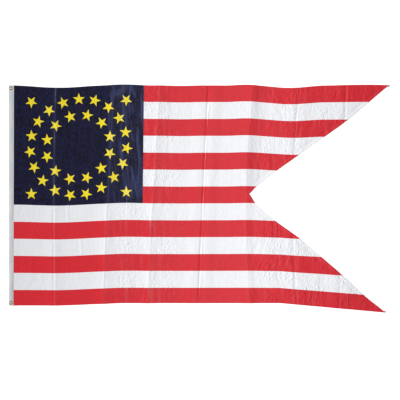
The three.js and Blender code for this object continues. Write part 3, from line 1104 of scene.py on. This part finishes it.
def print_material(name, colour, share_past_painted_light, blotches, painted_highlight_colour, wear_and_highlight):
    """Printed polyester: yarns, uneven ink, painted highlights along folds, wrinkles and streaks,
    painted shade in troughs, painted light towards the hoist, and a weaker back.
    """
    shader = Shader(name)
    mottle = shader.map(shader.noise(shader.place, 14.0, 4.0), 0.35, 0.65, 0.0, 0.25)
    speckle = shader.map(shader.noise(shader.stretched(95, 70), 1.0, 2.0), 0.4, 0.62, 0.0, 0.55)
    streaks = shader.map(shader.noise(shader.stretched(520, 26), 1.0, 2.0), 0.3, 0.7, 0.0, 0.2)
    shade = shader.math("ADD", shader.math("ADD", mottle, speckle), streaks)
    face = shader.blend(shade, scaled(colour, 1 - blotches), scaled(colour, 1 + blotches))
    # Painted light: the colour is lighter at the hoist and falls to its share further along.
    along = shader.node("ShaderNodeSeparateXYZ", Vector=shader.place).outputs["X"]
    plain = shader.map(along, HOIST_EDGE.x, HOIST_EDGE.x + HOIST_PAINTED_LIGHT_REACH, 0, 1)
    face = shader.blend(plain, face, shader.blend(1.0, face, opaque([share_past_painted_light] * 3), "MULTIPLY"))
    crease, crinkled = shader.attribute("crease"), shader.attribute("crinkled")
    # Painted highlights: along ridge crests and short wrinkles, fine wrinkles and sheen streaks the
    # colour turns paler.
    painted_crest_highlight = shader.map(crease, 0, 1, 0, wear_and_highlight)
    wrinkles, strength = fine_wrinkles(shader)
    painted_wrinkle_highlight = shader.math("MULTIPLY", shader.map(wrinkles, 0.01, 0.07, wear_and_highlight, 0), strength)
    sheen_streak_noise = shader.map(shader.noise(shader.stretched(60, 7), 1.0, 2.0), 0.5, 0.7, 0, wear_and_highlight * 1.6)
    painted_sheen_streaks = shader.math("MULTIPLY", sheen_streak_noise, shader.map(crinkled, 0.4, 1.0, 0.1, 1.0))
    for share in (painted_crest_highlight, painted_wrinkle_highlight, painted_sheen_streaks):
        face = shader.blend(share, face, opaque(painted_highlight_colour))
    # Painted shade: darker along a trough's bottom and in the panel beside the fifth crease.
    face = shader.blend(shader.map(crease, -3, 0, 0.3, 0), face, scaled(colour, 0.5))
    back = [part * BACK_STRENGTH + (1 - BACK_STRENGTH) * UNDYED for part in colour]
    both = shader.blend(shader.attribute("reverse"), face, opaque(back))
    height = shader.math("MULTIPLY", wrinkles, strength)
    normal = shader.weave(YARN_PITCH, 0.00003, 0.25, shader.bump(height, FINE_WRINKLE, 1.0))
    return shader.finish(both, normal, Roughness=0.4, Specular_IOR_Level=0.18, Sheen_Weight=0.008)


def fine_wrinkles(shader):
    """The wrinkles too fine for the mesh, and their strength."""
    ridges = []
    for across, up in ((95, 38), (60, 75)):
        waves = shader.noise(shader.stretched(across, up), 1.0, 1.0)
        ridges.append(shader.math("ABSOLUTE", shader.math("SUBTRACT", waves, 0.5), 0.0))
    both = shader.math("ADD", *ridges)
    patches = shader.map(shader.noise(shader.place, 9.0, 2.0), 0.38, 0.62, 0.25, 1.0)
    strength = shader.math("MULTIPLY", patches, shader.attribute("crinkled"))
    return both, strength


def tape_material():
    shader = Shader("cotton_tape")
    soiling = shader.noise(shader.stretched(60, 9), 1.0, 4.0)
    colour = shader.blend(
        shader.map(soiling, 0.3, 0.7, 0, 1), opaque((0.5, 0.52, 0.54)), opaque((0.64, 0.65, 0.66))
    )
    normal = shader.weave(0.0011, 0.0001, 0.6)
    return shader.finish(colour, normal, Roughness=0.85, Specular_IOR_Level=0.2, Sheen_Weight=0.15)


def thread_material(name, colour):
    shader = Shader(name)
    ply = shader.noise(shader.place, 900.0, 1.0)
    tone = shader.blend(shader.map(ply, 0.3, 0.7, 0, 1), scaled(colour, 0.8), scaled(colour, 1.05))
    return shader.finish(tone, None, Roughness=0.6, Specular_IOR_Level=0.3)


def brass_material():
    shader = Shader("worn_brass")
    patina = shader.noise(shader.place, 260.0, 4.0)
    colour = shader.blend(
        shader.map(patina, 0.42, 0.68, 0, 1), opaque((0.62, 0.46, 0.2)), opaque((0.3, 0.21, 0.1))
    )
    scratches = shader.bump(shader.noise(shader.stretched(2500, 900), 1.0, 2.0), 0.00002, 0.4)
    return shader.finish(colour, scratches, Metallic=1.0, Roughness=0.34)


def floor_material():
    shader = Shader("pale_floor")
    paper = shader.noise(shader.place, 3.0, 2.0)
    colour = shader.blend(paper, opaque((0.94, 0.94, 0.94)), opaque((0.96, 0.96, 0.96)))
    glow = {"Emission_Color": opaque((1, 1, 1)), "Emission_Strength": 0.2}
    return shader.finish(colour, None, Roughness=0.9, Specular_IOR_Level=0.1, **glow)


# ---- floor, lights and camera ----

CAMERA_PLACE = (0.0032, -0.0057, 3.7816)
CAMERA_LENS, CAMERA_SENSOR = 85.0, 36.0
FLOOR_HALF = 60.0
TOP_LAMP_PLACE, TOP_LAMP_AIM = (0.1, 0.0, 1.2), (0.1, 0.0, 0.0)
TOP_LAMP_SIZE, TOP_LAMP_WATTS = (0.5, 2.8), 12.1
SUN_PLACE, SUN_STRENGTH, SUN_ANGLE = (-4.0, 0.8, 1.85), 3.2, math.radians(18)
SKY_STRENGTH = 0.36


def make_floor():
    corners = np.array([(-1, -1, 0), (1, -1, 0), (1, 1, 0), (-1, 1, 0)]) * FLOOR_HALF
    mesh = bpy.data.meshes.new("floor")
    mesh.from_pydata(corners.tolist(), [], [(0, 1, 2, 3)])
    mesh.materials.append(floor_material())
    floor = add_object("floor", mesh)
    return floor


def add_lamp(light, place, aim):
    """A soft light that the camera doesn't see."""
    lamp = add_object(light.name, light)
    lamp.location = place
    lamp.rotation_euler = (Vector(aim) - Vector(place)).to_track_quat("-Z", "Y").to_euler()
    lamp.visible_camera = False


def make_stage():
    floor = make_floor()
    top = bpy.data.lights.new("top_light", "AREA")
    top.shape = "RECTANGLE"
    top.size, top.size_y = TOP_LAMP_SIZE
    top.energy = TOP_LAMP_WATTS
    add_lamp(top, TOP_LAMP_PLACE, TOP_LAMP_AIM)
    sun = bpy.data.lights.new("side_light", "SUN")
    sun.angle, sun.energy = SUN_ANGLE, SUN_STRENGTH
    add_lamp(sun, SUN_PLACE, (0, 0, 0))
    world = bpy.data.worlds.new("studio")
    world.use_nodes = True
    sky = world.node_tree.nodes["Background"]
    sky.inputs["Color"].default_value = (1, 1, 1, 1)
    sky.inputs["Strength"].default_value = SKY_STRENGTH
    bpy.context.scene.world = world
    optics = bpy.data.cameras.new("camera")
    optics.lens, optics.sensor_width = CAMERA_LENS, CAMERA_SENSOR
    camera = add_object("camera", optics)
    camera.location = CAMERA_PLACE
    bpy.context.scene.camera = camera
    bpy.context.scene.view_settings.view_transform = "Standard"
    return floor


# ---- the whole flag ----


def make_flag(floor):
    cloth = make_cloth([print_material(*PRINT[colour]) for colour in (RED, WHITE, NAVY, GOLD)])
    heading = make_heading(tape_material())
    brass = brass_material()
    for name, y in zip(("grommet_top", "grommet_bottom"), GROMMET_YS):
        make_grommet(name, y, brass)
    hem_threads = [thread_material(name + "_thread", colour) for name, colour, *_ in PRINT.values()]
    tape_threads = [thread_material("tape_thread", (0.66, 0.66, 0.65))]
    hem_rows, tape_rows = [], []
    for side, face in ((1, "upper"), (-1, "under")):
        lines = hem_stitch_lines(side)
        hem_rows.append(make_stitches("hem_stitches_" + face, lines, side, hem_threads))
        lines = tape_stitch_lines(side)
        tape_rows.append(make_stitches("tape_stitches_" + face, lines, side, tape_threads))
    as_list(hem_rows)
    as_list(tape_rows)


make_flag(make_stage())
